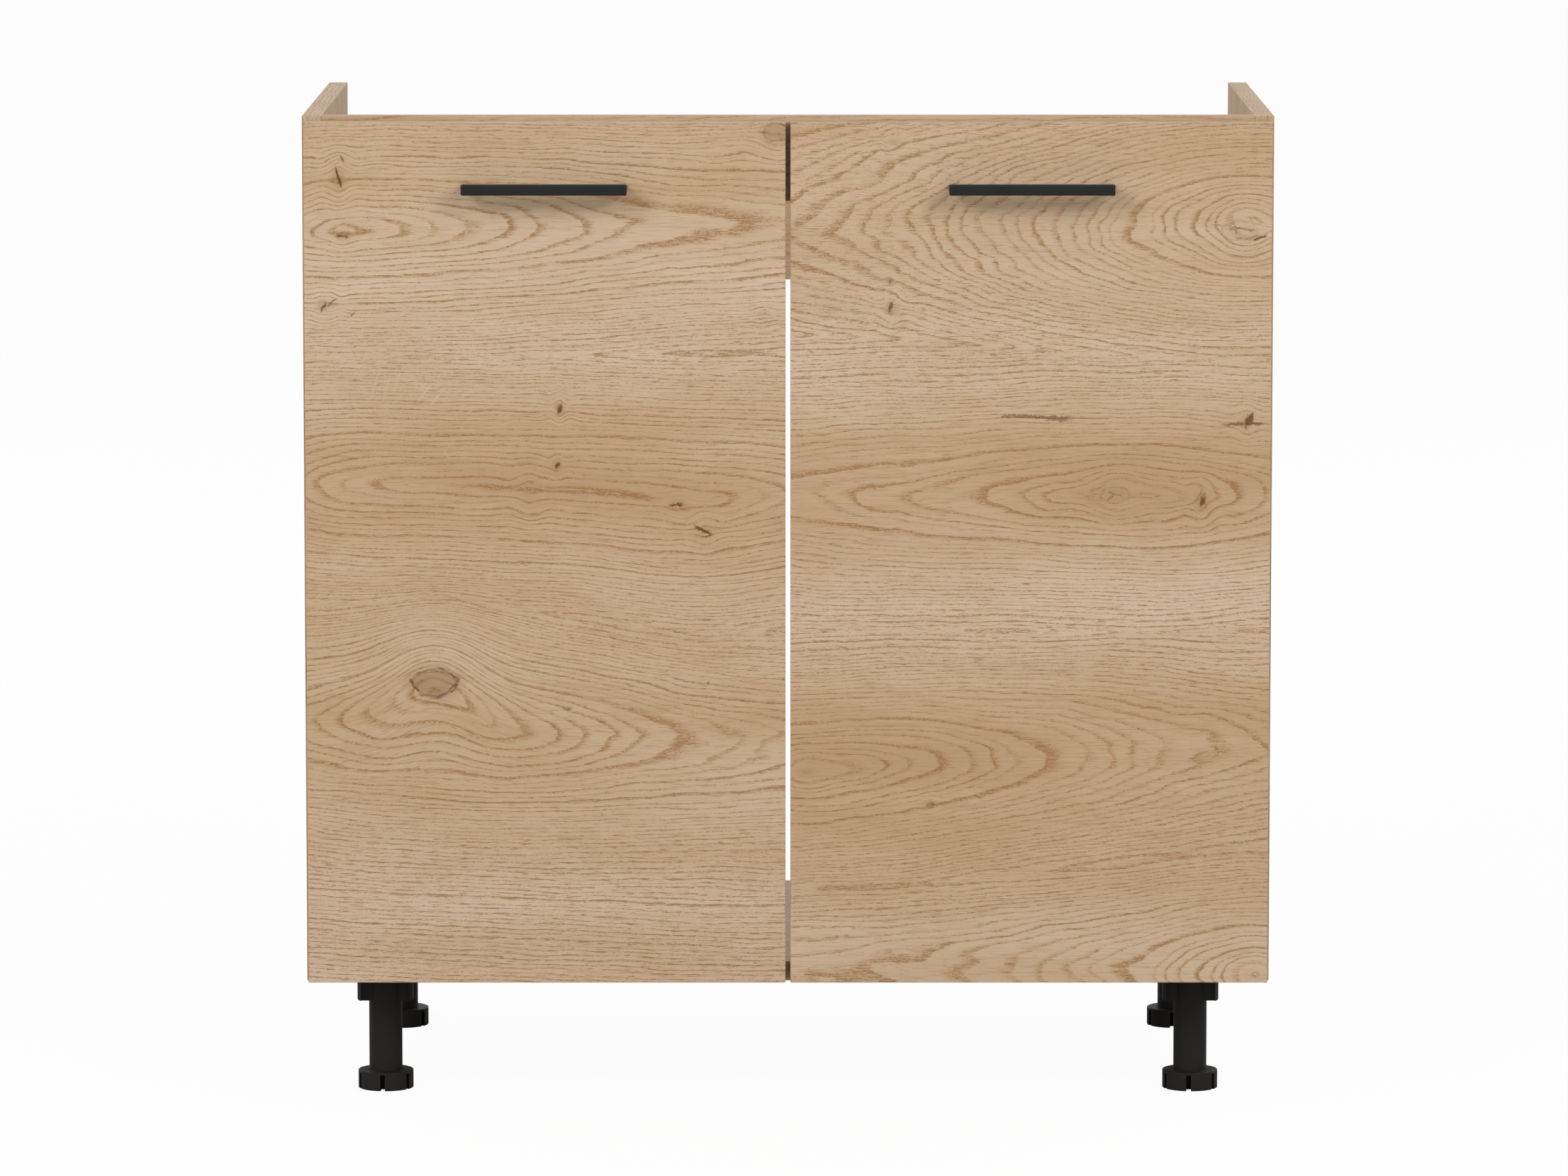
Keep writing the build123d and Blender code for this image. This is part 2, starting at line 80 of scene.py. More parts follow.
def joinVector(tree, x, y, z=0.0):
    return addNode(tree, "ShaderNodeCombineXYZ", {0: x, 1: y, 2: z}).outputs[0]


def splitVector(tree, vector):
    return addNode(tree, "ShaderNodeSeparateXYZ", {0: vector}).outputs


def noise(tree, vector, detail, roughness=0.5, scale=1.0):
    inputs = {"Vector": vector, "Scale": scale, "Detail": detail, "Roughness": roughness}
    return addNode(tree, "ShaderNodeTexNoise", inputs).outputs[0]


def swing(tree, value, amount):  # a noise value, spread this far to both sides of nothing
    return calc(tree, "MULTIPLY", calc(tree, "SUBTRACT", value, 0.5), amount)


def sockets(kind, *labels):
    return [(label, kind) for label in labels]


def newGroup(name, inputs, outputs):
    tree = bpy.data.node_groups.new(name, "ShaderNodeTree")
    kinds = {"number": "NodeSocketFloat", "colour": "NodeSocketColor", "vector": "NodeSocketVector"}
    for direction, rows in (("INPUT", inputs), ("OUTPUT", outputs)):
        for label, kind in rows:
            tree.interface.new_socket(label, in_out=direction, socket_type=kinds[kind])
    source = tree.nodes.new("NodeGroupInput").outputs
    result = tree.nodes.new("NodeGroupOutput").inputs
    return tree, source, result


def fill(tree, result, **values):  # joins values to the named outputs of a group
    for label, value in values.items():
        tree.links.new(value, result[label])


def place(tree, group, **values):  # a group node with its named inputs filled
    return addNode(tree, "ShaderNodeGroup", values, node_tree=group).outputs


def newMaterial(name):
    material = bpy.data.materials.new(name)
    material.use_nodes = True
    tree = material.node_tree
    tree.nodes.clear()
    output = tree.nodes.new("ShaderNodeOutputMaterial")
    shader = tree.nodes.new("ShaderNodeBsdfPrincipled")
    tree.links.new(shader.outputs[0], output.inputs[0])
    return material, tree, shader


def setShader(shader, **values):  # plain numbers on the shader's own sockets
    for label, value in values.items():
        shader.inputs[label.replace("_", " ")].default_value = value


def finishShader(tree, shader, colour, roughness, height, strength, distance):
    relief = addNode(tree, "ShaderNodeBump", {"Strength": strength, "Distance": distance, "Height": height})
    for label, value in (("Base Color", colour), ("Roughness", roughness), ("Normal", relief.outputs[0])):
        tree.links.new(value, shader.inputs[label])


def dress(node, material):  # gives a CAD node its finish
    materials = frame["nodes"][node].data.materials
    materials.clear()
    materials.append(material)


def srgb(red, green, blue):  # 0 to 255 as seen, to the linear colour a shader takes
    def linear(value):
        value = value / 255
        return value / 12.92 if value <= 0.04045 else ((value + 0.055) / 1.055) ** 2.4
    return (linear(red), linear(green), linear(blue), 1.0)


# oak laminate: shared effects, all lengths in millimetres

knotLook = {
    "reach": 5.0,  # how far around itself a knot parts the lines
    "pinch": 0.55,  # how much they close up again at its two ends
    "fallAlong": 0.17, "fallAcross": 0.04,  # how soon the lifted lines come back down
    "coreEdge": (1.05, 0.8), "core": 0.62,
    "rings": 3.4, "ringEdge": (0.5, 0.1), "ringFade": (1.0, 0.8), "ringTone": 0.55,
    "haloEdge": (1.7, 0.9), "halo": 0.3,
    "rimAt": 0.95, "rimEdge": (0.13, 0.03), "rimFrom": 10.0,  # a rim only where half the length is more
}


def makeKnotGroup():
    look = knotLook
    tree, source, result = newGroup(
        "knotInGrain",
        sockets("number", "Along", "Across", "Marks", "Cracks", "CentreAlong", "CentreAcross", "SizeAlong",
                "SizeAcross", "Bend", "Lift", "Dark", "Wobble", "Breaks"),
        sockets("number", "Across", "Marks", "Cracks"),
    )
    ahead = calc(tree, "SUBTRACT", source["Along"], source["CentreAlong"])
    offset = calc(tree, "SUBTRACT", source["Across"], source["CentreAcross"])
    u = calc(tree, "DIVIDE", ahead, source["SizeAlong"])
    v = calc(tree, "DIVIDE", offset, source["SizeAcross"])
    uu, vv = calc(tree, "MULTIPLY", u, u), calc(tree, "MULTIPLY", v, v)
    square = calc(tree, "ADD", uu, vv)

    # the board's lines part around the knot, and some hang over it
    reach = calc(tree, "EXPONENT", calc(tree, "DIVIDE", square, -look["reach"]))
    sides = calc(tree, "MULTIPLY_ADD", uu, -look["pinch"], 1.0)
    bend = calc(tree, "MULTIPLY", offset, source["Bend"])
    parting = calc(tree, "MULTIPLY", bend, calc(tree, "MULTIPLY", sides, reach))
    fall = calc(tree, "MULTIPLY", vv, -look["fallAcross"])
    fall = calc(tree, "MULTIPLY_ADD", uu, -look["fallAlong"], fall)
    push = calc(tree, "MULTIPLY_ADD", calc(tree, "EXPONENT", fall), source["Lift"], parting)

    # the knot: a core, its own rings, a halo and a broken dark rim
    distance = calc(tree, "ADD", calc(tree, "SQRT", square), source["Wobble"])
    core = ramp(tree, distance, *look["coreEdge"], 0.0, look["core"])
    turn = calc(tree, "FRACT", calc(tree, "MULTIPLY", distance, look["rings"]))
    fade = ramp(tree, distance, *look["ringFade"], 0.0, look["ringTone"])
    inner = calc(tree, "MULTIPLY", ramp(tree, turn, *look["ringEdge"]), fade)
    halo = ramp(tree, distance, *look["haloEdge"], 0.0, look["halo"])
    soft = calc(tree, "MULTIPLY", chain(tree, "MAXIMUM", core, inner, halo), source["Dark"])
    fromRim = calc(tree, "ABSOLUTE", calc(tree, "SUBTRACT", distance, look["rimAt"]))
    rim = chain(tree, "MULTIPLY", ramp(tree, fromRim, *look["rimEdge"]), source["Breaks"], source["Dark"])
    fill(tree, result,
         Across=calc(tree, "SUBTRACT", source["Across"], push),
         Marks=calc(tree, "MAXIMUM", source["Marks"], soft),
         Cracks=calc(tree, "MAXIMUM", source["Cracks"], rim))
    return tree


def fromCentre(tree, source):  # along and across from the group's own centre, on its own slope
    u = calc(tree, "SUBTRACT", source["Along"], source["CentreAlong"])
    lean = calc(tree, "MULTIPLY", u, source["Slope"])
    return u, chain(tree, "SUBTRACT", source["Across"], source["CentreAcross"], lean)


crackLook = {
    "endEdge": (0.5, 0.25), "sideEdge": (0.8, 0.2),
    "width": (0.8, 0.4),  # the share that varies along the crack, and the share that doesn't
}


def makeCrackGroup():
    look = crackLook
    tree, source, result = newGroup(
        "crackInGrain",
        sockets("number", "Along", "Across", "Cracks", "CentreAlong", "CentreAcross", "Length", "Width",
                "Slope", "Dark", "Wobble", "Breaks"),
        sockets("number", "Cracks"),
    )
    u, v = fromCentre(tree, source)
    v = calc(tree, "ADD", v, source["Wobble"])
    share = calc(tree, "MULTIPLY_ADD", source["Breaks"], *look["width"])
    width = calc(tree, "MULTIPLY", source["Width"], share)
    ends = ramp(tree, calc(tree, "DIVIDE", calc(tree, "ABSOLUTE", u), source["Length"]), *look["endEdge"])
    sides = ramp(tree, calc(tree, "DIVIDE", calc(tree, "ABSOLUTE", v), width), *look["sideEdge"])
    mark = chain(tree, "MULTIPLY", ends, sides, source["Dark"])
    fill(tree, result, Cracks=calc(tree, "MAXIMUM", source["Cracks"], mark))
    return tree


heartBlend = 10.0  # over which the rings of two hearts run together


def makeHeartGroup():
    tree, source, result = newGroup(
        "heartOfBoard",
        sockets("number", "Along", "Across", "Radius", "CentreAlong", "CentreAcross", "Slope",
                "ReachRight", "LengthRight", "ReachLeft", "LengthLeft"),
        sockets("number", "Radius"),
    )
    u, v = fromCentre(tree, source)

    def depth(distance, reach, length):  # how deep the heart lies under the board's face
        distance, length = calc(tree, "MAXIMUM", distance, 0.0), calc(tree, "MULTIPLY", length, -1.0)
        fade = calc(tree, "EXPONENT", calc(tree, "DIVIDE", distance, length))
        return calc(tree, "MULTIPLY", calc(tree, "SUBTRACT", 1.0, fade), reach)

    right = depth(u, source["ReachRight"], source["LengthRight"])
    left = depth(calc(tree, "MULTIPLY", u, -1.0), source["ReachLeft"], source["LengthLeft"])
    deep = calc(tree, "ADD", right, left)
    square = calc(tree, "ADD", calc(tree, "MULTIPLY", deep, deep), calc(tree, "MULTIPLY", v, v))
    radius = calc(tree, "SQRT", square)
    fill(tree, result, Radius=calc(tree, "SMOOTH_MIN", source["Radius"], radius, heartBlend))
    return tree


grainFields = {
    # scale along and across the fibres, detail, roughness, how far the seed is shifted
    "slow": (0.006, 0.02, 2.0, 0.5, 0.0),
    "wave": (0.022, 0.07, 2.0, 0.5, 3.7),
    "torn": (0.11, 0.95, 3.0, 0.65, 9.1),
    "patch": (0.03, 0.22, 3.0, 0.6, 5.3),
    "dashes": (0.08, 1.15, 2.0, 0.6, 1.9),
    "dots": (0.42, 1.25, 2.0, 0.65, 7.7),
    "hairs": (0.045, 1.7, 3.0, 0.65, 4.4),
    "streak": (0.02, 0.75, 3.0, 0.6, 2.2),
    "tone": (0.0035, 0.016, 3.0, 0.55, 8.8),
}
grainLook = {
    "slow": 14.0, "wave": 4.0, "torn": 1.5,  # how far the rings wander
    "closer": 0.0058, "closerTo": 100.0,  # rings stand closer further from a heart, up to this radius
    "unevenScale": 0.06, "uneven": 3.5,  # how the width of the rings changes
    "ringRise": (0.0, 0.07), "ringFall": (0.5, 0.12), "ringTones": (0.5, 0.5), "ringBody": 0.6,
    "patchEdge": (0.3, 0.52, 0.45, 1.0),  # places where the rings are faint
    "straightEdge": (50.0, 120.0), "straightRings": -0.24, "straightPores": -0.065,  # board cut straight
    # pores: level off a ring and on it, soft edge, depth
    "dashes": (0.66, 0.5, 0.08, 0.8), "dots": (0.7, 0.44, 0.07, 0.75),
    "hairEdge": (0.52, 0.68), "hairs": 0.28,
    "streak": 0.7, "streakHairs": 0.5, "toneEdge": (0.3, 0.7),
    "toneShare": 0.42, "bandShare": (0.85, -0.34), "streakShare": 0.6,  # what moves the light wood to tan
    "roughness": 0.46, "roughStreak": 0.12, "roughPore": 0.18,
    "poreDepth": 0.8, "dotDepth": 0.3,
}


def makeGrainGroup():
    look = grainLook
    tree, source, result = newGroup(
        "oakGrain",
        sockets("number", "Along", "Across", "Depth", "Radius", "RingWidth", "Seed", "RingStrength",
                "Marks", "Cracks", "Flecks", "Band")
        + sockets("colour", "Light", "Tan", "RingColour", "PoreColour", "KnotColour", "CrackColour"),
        sockets("colour", "Colour") + sockets("number", "Roughness", "Height"),
    )

    def field(name):
        alongScale, acrossScale, detail, roughness, shift = grainFields[name]
        x = calc(tree, "MULTIPLY_ADD", source["Along"], alongScale, calc(tree, "ADD", source["Seed"], shift))
        y = calc(tree, "MULTIPLY", source["Across"], acrossScale)
        z = calc(tree, "MULTIPLY", source["Depth"], acrossScale)
        return noise(tree, joinVector(tree, x, y, z), detail, roughness)

    # the rings are counted outwards from the hearts
    slow, wave, torn = [swing(tree, field(name), look[name]) for name in ("slow", "wave", "torn")]
    radius = calc(tree, "ADD", calc(tree, "ADD", source["Radius"], slow), calc(tree, "ADD", wave, torn))
    near = calc(tree, "MINIMUM", radius, look["closerTo"])
    closer = calc(tree, "MULTIPLY_ADD", near, look["closer"], 1.0)
    outwards = calc(tree, "MULTIPLY", radius, look["unevenScale"])
    uneven = noise(tree, joinVector(tree, outwards, source["Seed"]), 1.0)
    turns = calc(tree, "MULTIPLY", calc(tree, "DIVIDE", radius, source["RingWidth"]), closer)
    count = calc(tree, "ADD", turns, swing(tree, uneven, look["uneven"]))

    # a ring starts sharply and fades, and each has its own tone
    part = calc(tree, "FRACT", count)
    ringSeed = calc(tree, "ADD", calc(tree, "FLOOR", count), source["Seed"])
    draw = addNode(tree, "ShaderNodeTexWhiteNoise", {"W": ringSeed}, noise_dimensions="1D").outputs[0]
    ringTone = calc(tree, "MULTIPLY_ADD", draw, *look["ringTones"])
    patch = ramp(tree, field("patch"), *look["patchEdge"])
    straight = ramp(tree, radius, *look["straightEdge"])
    plainer = calc(tree, "MULTIPLY_ADD", straight, look["straightRings"], 1.0)
    strength = calc(tree, "MULTIPLY", patch, plainer)
    rise, fall = ramp(tree, part, *look["ringRise"]), ramp(tree, part, *look["ringFall"])
    ring = chain(tree, "MULTIPLY", rise, fall, ringTone, strength)

    def pores(name):  # the more of a ring there is, the more pores open
        sparse, dense, edge, depth = look[name]
        level = calc(tree, "MULTIPLY_ADD", straight, look["straightPores"], sparse)
        start = calc(tree, "MULTIPLY_ADD", ring, dense - sparse, level)
        opened = ramp(tree, field(name), start, calc(tree, "ADD", start, edge))
        return calc(tree, "MULTIPLY", opened, depth)

    dashes, dots = pores("dashes"), pores("dots")
    hairs = ramp(tree, field("hairs"), *look["hairEdge"])
    thin = chain(tree, "MAXIMUM", dashes, dots, calc(tree, "MULTIPLY", hairs, look["hairs"]))
    streakHairs = calc(tree, "MULTIPLY", hairs, look["streakHairs"])
    streak = calc(tree, "MULTIPLY_ADD", field("streak"), look["streak"], streakHairs)
    tone = ramp(tree, field("tone"), *look["toneEdge"])

    amount = calc(tree, "MULTIPLY_ADD", source["Band"], *look["bandShare"])
    amount = calc(tree, "MULTIPLY_ADD", tone, look["toneShare"], amount)
    amount = calc(tree, "MULTIPLY_ADD", streak, look["streakShare"], amount)
    colour = blendColour(tree, amount, source["Light"], source["Tan"])
    body = chain(tree, "MULTIPLY", ring, look["ringBody"], source["RingStrength"])
    colour = blendColour(tree, body, colour, source["RingColour"])
    opened = calc(tree, "MULTIPLY", thin, source["RingStrength"])
    colour = blendColour(tree, opened, colour, source["PoreColour"])
    for mask, shade in (("Flecks", "Light"), ("Marks", "KnotColour"), ("Cracks", "CrackColour")):
        colour = blendColour(tree, source[mask], colour, source[shade])

    rough = calc(tree, "MULTIPLY_ADD", streak, look["roughStreak"], look["roughness"])
    dotCut = calc(tree, "MULTIPLY", dots, look["dotDepth"])
    cut = calc(tree, "ADD", calc(tree, "MULTIPLY", thin, look["poreDepth"]), dotCut)
    fill(tree, result,
         Colour=colour,
         Roughness=calc(tree, "MULTIPLY_ADD", thin, look["roughPore"], rough),
         Height=calc(tree, "SUBTRACT", 1.0, cut))
    return tree


boardLook = {
    "steep": 0.7,  # a side whose normal points this much one way is the board's face or end
    "edgeShift": 37.0,  # so that the edges don't repeat the face
}


def makeBoardGroup():
    # turns a board's own coordinates into along, across and depth, and turns them again on its edges
    tree, source, result = newGroup("boardSides", sockets("vector", "Place", "Facing"),
                                    sockets("number", "Along", "Across", "Depth"))
    facing = splitVector(tree, source["Facing"])

    def pick(test, yes, no):
        return addNode(tree, "ShaderNodeMix", {0: test, 2: no, 3: yes}, data_type="FLOAT").outputs[0]

    spot = splitVector(tree, source["Place"])
    along, across, depth = [calc(tree, "MULTIPLY", spot[axis], 1 / mm) for axis in range(3)]
    isEnd, isFace = [calc(tree, "GREATER_THAN", calc(tree, "ABSOLUTE", facing[axis]), boardLook["steep"])
                     for axis in (0, 2)]
    fill(tree, result,
         Along=pick(isEnd, across, along),
         Across=pick(isFace, across, calc(tree, "ADD", depth, boardLook["edgeShift"])),
         Depth=pick(isFace, depth, across))
    return tree


knotGroup, crackGroup, heartGroup = makeKnotGroup(), makeCrackGroup(), makeHeartGroup()
grainGroup, boardGroup = makeGrainGroup(), makeBoardGroup()

oak = {
    "Light": srgb(206, 182, 156), "Tan": srgb(182, 150, 113), "RingColour": srgb(170, 130, 84),
    "PoreColour": srgb(146, 103, 58), "KnotColour": srgb(142, 104, 62), "CrackColour": srgb(98, 62, 28),
}
oakSurface = {"ringWidth": 6.4, "bump": 0.00012, "bumpStrength": 0.5, "specular": 0.25}
markLook = {
    # a field: scale along and across, detail, how far the seed is shifted
    "wobbleField": (0.09, 0.12, 1.0, 0.0), "raggedField": (0.4, 0.25, 2.0, 3.1),
    "breakField": (0.16, 0.24, 2.0, 6.3),
    "wobble": 0.5, "ragged": 4.0,  # how uneven knots and cracks are
    "breakEdge": (0.4, 0.62, 0.35, 1.0),  # where a crack or rim is faint
}
axisOrder = {"X": 0, "Y": 1, "Z": 2}
bandSpan = 1000.0  # the height that the light and dark bands are placed on
heartFar = 1000.0  # the radius where no heart is near
knotLabels = ("CentreAlong", "CentreAcross", "SizeAlong", "SizeAcross", "Bend", "Dark", "Lift")
crackLabels = ("CentreAlong", "CentreAcross", "Length", "Width", "Slope", "Dark")
heartLabels = ("CentreAlong", "CentreAcross", "Slope", "ReachRight", "LengthRight", "ReachLeft",
               "LengthLeft")


def makeBands(tree, across, toneAndShadeBands):  # light and dark bands over the height of a board: the wood's own tone, and on the doors also painted shade near the top and painted light near the bottom that even out the lamps' falloff
    node = addNode(tree, "ShaderNodeValToRGB", {0: calc(tree, "DIVIDE", across, bandSpan)})
    stops = node.color_ramp
    stops.interpolation = "B_SPLINE"
    while len(stops.elements) < len(toneAndShadeBands):
        stops.elements.new(0.5)
    while len(stops.elements) > len(toneAndShadeBands):
        stops.elements.remove(stops.elements[-1])
    for stop, (height, level) in zip(stops.elements, toneAndShadeBands):
        stop.position, stop.color = height / bandSpan, (level, level, level, 1.0)
    return node.outputs[0]


def oakMaterial(name, axes, hearts, seed, knots=(), cracks=(), flecks=(), toneAndShadeBands=((0.0, 0.4),),
                tint=1.0, ringStrength=0.92):
    material, tree, shader = newMaterial(name)
    spot = addNode(tree, "ShaderNodeTexCoord").outputs
    places, normals = splitVector(tree, spot["Object"]), splitVector(tree, spot["Normal"])
    turned = joinVector(tree, *[places[axisOrder[axis]] for axis in axes])
    facing = joinVector(tree, *[normals[axisOrder[axis]] for axis in axes])
    board = place(tree, boardGroup, Place=turned, Facing=facing)
    along, across = board["Along"], board["Across"]

    def field(name):
        alongScale, acrossScale, detail, shift = markLook[name]
        x, y = calc(tree, "MULTIPLY", along, alongScale), calc(tree, "MULTIPLY", across, acrossScale)
        return noise(tree, joinVector(tree, x, y, seed + shift), detail)

    wobble = swing(tree, field("wobbleField"), markLook["wobble"])
    ragged = swing(tree, field("raggedField"), markLook["ragged"])
    breaks = ramp(tree, field("breakField"), *markLook["breakEdge"])

    def addCracks(mask, rows):
        for row in rows:
            values = dict(zip(crackLabels, row))
            mask = place(tree, crackGroup, Along=along, Across=across, Cracks=mask, Wobble=ragged,
                         Breaks=breaks, **values)["Cracks"]
        return mask

    bent, marks, split, radius = across, 0.0, 0.0, heartFar
    for row in knots:
        values = dict(zip(knotLabels, row))
        item = place(tree, knotGroup, Along=along, Across=bent, Marks=marks, Cracks=split, Wobble=wobble,
                     Breaks=breaks if values["SizeAlong"] > knotLook["rimFrom"] else 0.0, **values)
        bent, marks, split = item["Across"], item["Marks"], item["Cracks"]
    for row in hearts:
        radius = place(tree, heartGroup, Along=along, Across=bent, Radius=radius,
                       **dict(zip(heartLabels, row)))["Radius"]
    shades = {label: [channel * tint for channel in colour[:3]] + [1.0] for label, colour in oak.items()}
    grain = place(tree, grainGroup, Along=along, Across=bent, Depth=board["Depth"], Radius=radius,
                  RingWidth=oakSurface["ringWidth"], Seed=seed, RingStrength=ringStrength, Marks=marks,
                  Cracks=addCracks(split, cracks), Flecks=addCracks(0.0, flecks),
                  Band=makeBands(tree, across, toneAndShadeBands), **shades)
    finishShader(tree, shader, grain["Colour"], grain["Roughness"], grain["Height"],
                 oakSurface["bumpStrength"], oakSurface["bump"])
    setShader(shader, Specular_IOR_Level=oakSurface["specular"])
    return material


# doors: the two faces with their own knots and hearts, placed by x and z on the cabinet
# heart: centre, slope, then how deep and how long it runs right and left, where a negative pair runs
# flat first and then ever steeper
# knot: centre, half length, half height, how much it parts the lines, how dark, how far it lifts them
# crack or fleck: centre, length, width, slope, strength
# band: height, how tan; on the doors the tan near the top is partly painted shade and the pale near the
# bottom is partly painted light, against the lamps' falloff
doorLeft = {
    "hearts": [
        (-366, 727, 0.02, 62, 290, 40, 90),
        (-190, 514, -0.02, -0.8, -60, -0.7, -60),
        (-292, 314, -0.05, 80, 290, 62, 150),
    ],
    "knots": [
        (-369, 769, 6, 8, 0.5, 0.5, 0), (-366, 722, 7, 4, 0.5, 0.35, 0), (-382, 665, 5, 5, 0.45, 0.45, 0),
        (-374, 667, 3, 4, 0.3, 0.3, 0), (-9.5, 808, 11, 8, 0.6, 0.6, 0), (-188, 580, 3.4, 4.6, 0.6, 0.7, 0),
        (-190, 533, 3.2, 3.4, 0.6, 0.75, 0), (-213, 511, 7, 8, 0.4, 0.22, 0),
        (-90, 500, 8, 4, 0.6, 0.25, 0), (-68, 478, 7, 5, 0.6, 0.3, 0), (-292, 352, 19, 12, 0.2, 0.85, 33),
        (-181, 330, 3, 1.8, 0.3, 0.5, 0), (-20, 655, 5, 4, 0.4, 0.22, 0), (-80, 440, 30, 18, 0.0, 0.0, -12),
    ],
    "cracks": [
        (-369, 770, 7, 6, -2.6, 0.95), (-366, 786, 4, 3, -1.2, 0.7), (-366, 722, 12, 2.2, -0.15, 0.7),
        (-382, 664, 6, 5, 0.9, 0.85), (-375, 668, 9, 2.4, 0.8, 0.7), (-358, 658, 5, 2.4, 0.8, 0.65),
        (-188, 579, 5, 6, 1.2, 0.9), (-190, 533, 5, 4, 0.8, 0.95), (-92, 500, 14, 2.6, 0.05, 0.9),
        (-70, 479, 18, 2.8, -0.5, 0.95), (-66, 474, 10, 1.5, 0.15, 0.7), (-288, 361, 16, 1.4, -0.2, 0.45),
        (-297, 341.5, 20, 2.0, -0.1, 0.6), (-279, 347, 12, 1.8, 1.0, 0.6), (-306, 352, 14, 1.4, 0.5, 0.45),
        (-181, 330, 4, 1.6, 0.2, 0.6), (-66, 352, 3, 1.4, 0.0, 0.6),
    ],
    "flecks": [
        (-340, 600, 9, 2.4, 3.0, 0.5), (-331, 596, 9, 2.2, 3.4, 0.5), (-322, 602, 9, 2.2, 3.0, 0.45),
        (-300, 592, 14, 2.4, 1.3, 0.45), (-288, 590, 14, 2.4, 1.2, 0.45), (-262, 594, 16, 2.2, 0.9, 0.4),
        (-238, 596, 16, 2.2, 0.8, 0.4), (-255, 440, 4, 2.0, 4.0, 0.45), (-246, 441, 4, 2.0, 4.0, 0.4),
        (-205, 598, 20, 1.8, 0.3, 0.2), (-120, 592, 30, 2.2, 0.1, 0.2),
    ],
    # wood tone bands, with painted shade in the tan bands at the top and painted light in the pale bands at
    # the bottom
    "toneAndShadeBands": [
        (110, 0.2), (155, 0.1), (213, 0.5), (271, 0.4), (330, 0.8), (400, 0.15), (447, 0.6), (506, 1.0),
        (545, 0.8), (600, 0.15), (682, 0.0), (745, 0.45), (800, 0.65),
    ],
    "seed": 2.0,
}
doorRight = {
    "hearts": [
        (384, 732, 0.0, 60, 120, 150, 320),
        (300, 508, 0.0, 52, 110, 62, 330),
        (14, 277, 0.06, 110, 420, 34, 60),
        (388, 108, 0.0, 40, 60, 70, 120),
    ],
    "knots": [
        (86, 801, 5, 4, 0.5, 0.25, 0), (84, 685, 3, 3, 0.4, 0.35, 0), (84.5, 663, 5, 6, 0.5, 0.4, 0),
        (371, 727, 16, 8, 0.7, 0.22, 0), (270, 508, 13, 7, 0.7, 0.32, 0), (342, 502, 6, 6.5, 0.7, 0.5, 0),
        (378, 568, 5, 5, 0.6, 0.5, 0), (118, 251, 5, 2.6, 0.4, 0.4, 0), (16, 277, 9, 5, 0.4, 0.25, 0),
    ],
    "cracks": [
        (375, 728, 26, 1.4, -0.16, 0.6), (388, 721, 14, 2.0, 0.3, 0.9), (356, 731, 22, 1.0, -0.1, 0.4),
        (206, 573, 70, 2.4, -0.03, 0.7), (180, 573.5, 12, 3.0, 0.1, 0.6), (222, 571, 24, 3.4, 0.0, 0.6),
        (376, 567, 46, 2.2, 0.02, 0.75), (380, 571, 9, 9, 0.9, 0.9), (270, 509, 14, 1.2, -0.3, 0.6),
        (266, 506, 9, 1.2, 0.8, 0.5), (342, 503, 6, 8, 1.0, 0.9), (84.5, 664, 5, 6, 1.3, 0.8),
        (84, 685, 3, 3, 0.6, 0.5), (118, 251, 8, 2.2, 0.1, 0.5), (388, 640, 5, 1.5, 0.4, 0.4),
    ],
    "flecks": [
        (190, 578, 40, 3.0, 0.06, 0.3), (225, 579, 30, 2.4, 0.0, 0.24), (60, 676, 90, 3.0, 0.02, 0.18),
        (250, 420, 120, 3.0, 0.02, 0.16), (300, 560, 90, 3.0, 0.0, 0.14),
    ],
    # wood tone bands, with painted shade in the tan bands at the top and painted light in the pale bands at
    # the bottom
    "toneAndShadeBands": [
        (110, 0.4), (155, 0.2), (213, 0.85), (243, 0.5), (290, 0.95), (340, 0.55), (400, 0.0), (447, 0.1),
        (506, 1.1), (555, 0.65), (610, 0.05), (700, 0.25), (800, 0.55),
    ],
    "seed": 11.0,
}
for side, details in (("left", doorLeft), ("right", doorRight)):
    dress("door_" + side, oakMaterial("oakDoor" + side.capitalize(), "XZY", **details))
print("doors finished")


# carcass boards

boards = {
    "side_panel_left": {
        "hearts": [(300, 60, 0.02, 70, 500, 60, 300), (700, -150, 0.0, 60, 400, 60, 300)],
        "axes": "ZYX", "seed": 21.0,
    },
    "side_panel_right": {
        "hearts": [(500, 90, -0.02, 70, 500, 60, 300), (200, -130, 0.0, 60, 400, 60, 300)],
        "axes": "ZYX", "seed": 27.0,
    },
    "bottom_panel": {"hearts": [(-120, 20, 0.02, 70, 500, 60, 300)], "axes": "XYZ", "seed": 33.0},
    "front_rail": {"hearts": [(90, 770, 0.02, 60, 500, 60, 400)], "axes": "XZY", "seed": 39.0},
    "rear_rail": {"hearts": [(-140, 700, 0.02, 60, 500, 60, 400)], "axes": "XZY", "seed": 45.0},
}
boardFinish = {"tint": 0.98, "ringStrength": 0.72}  # a little plainer than the doors
for node, details in boards.items():
    dress(node, oakMaterial("oak_" + node, **boardFinish, **details))
print("carcass boards finished")


# plain finishes

wearLook = {
    "patch": (3.0, 0.55), "grain": (2.0, 0.6),  # detail and roughness of the two noises
    "patchEdge": (0.55, 0.75), "grainEdge": (0.4, 0.7),  # where the surface is rubbed
    "patchTone": 0.5, "rubTone": 0.6,  # how far they move the colour to the worn one
    "spread": 0.15, "relief": 0.6,  # how much roughness and height vary
}


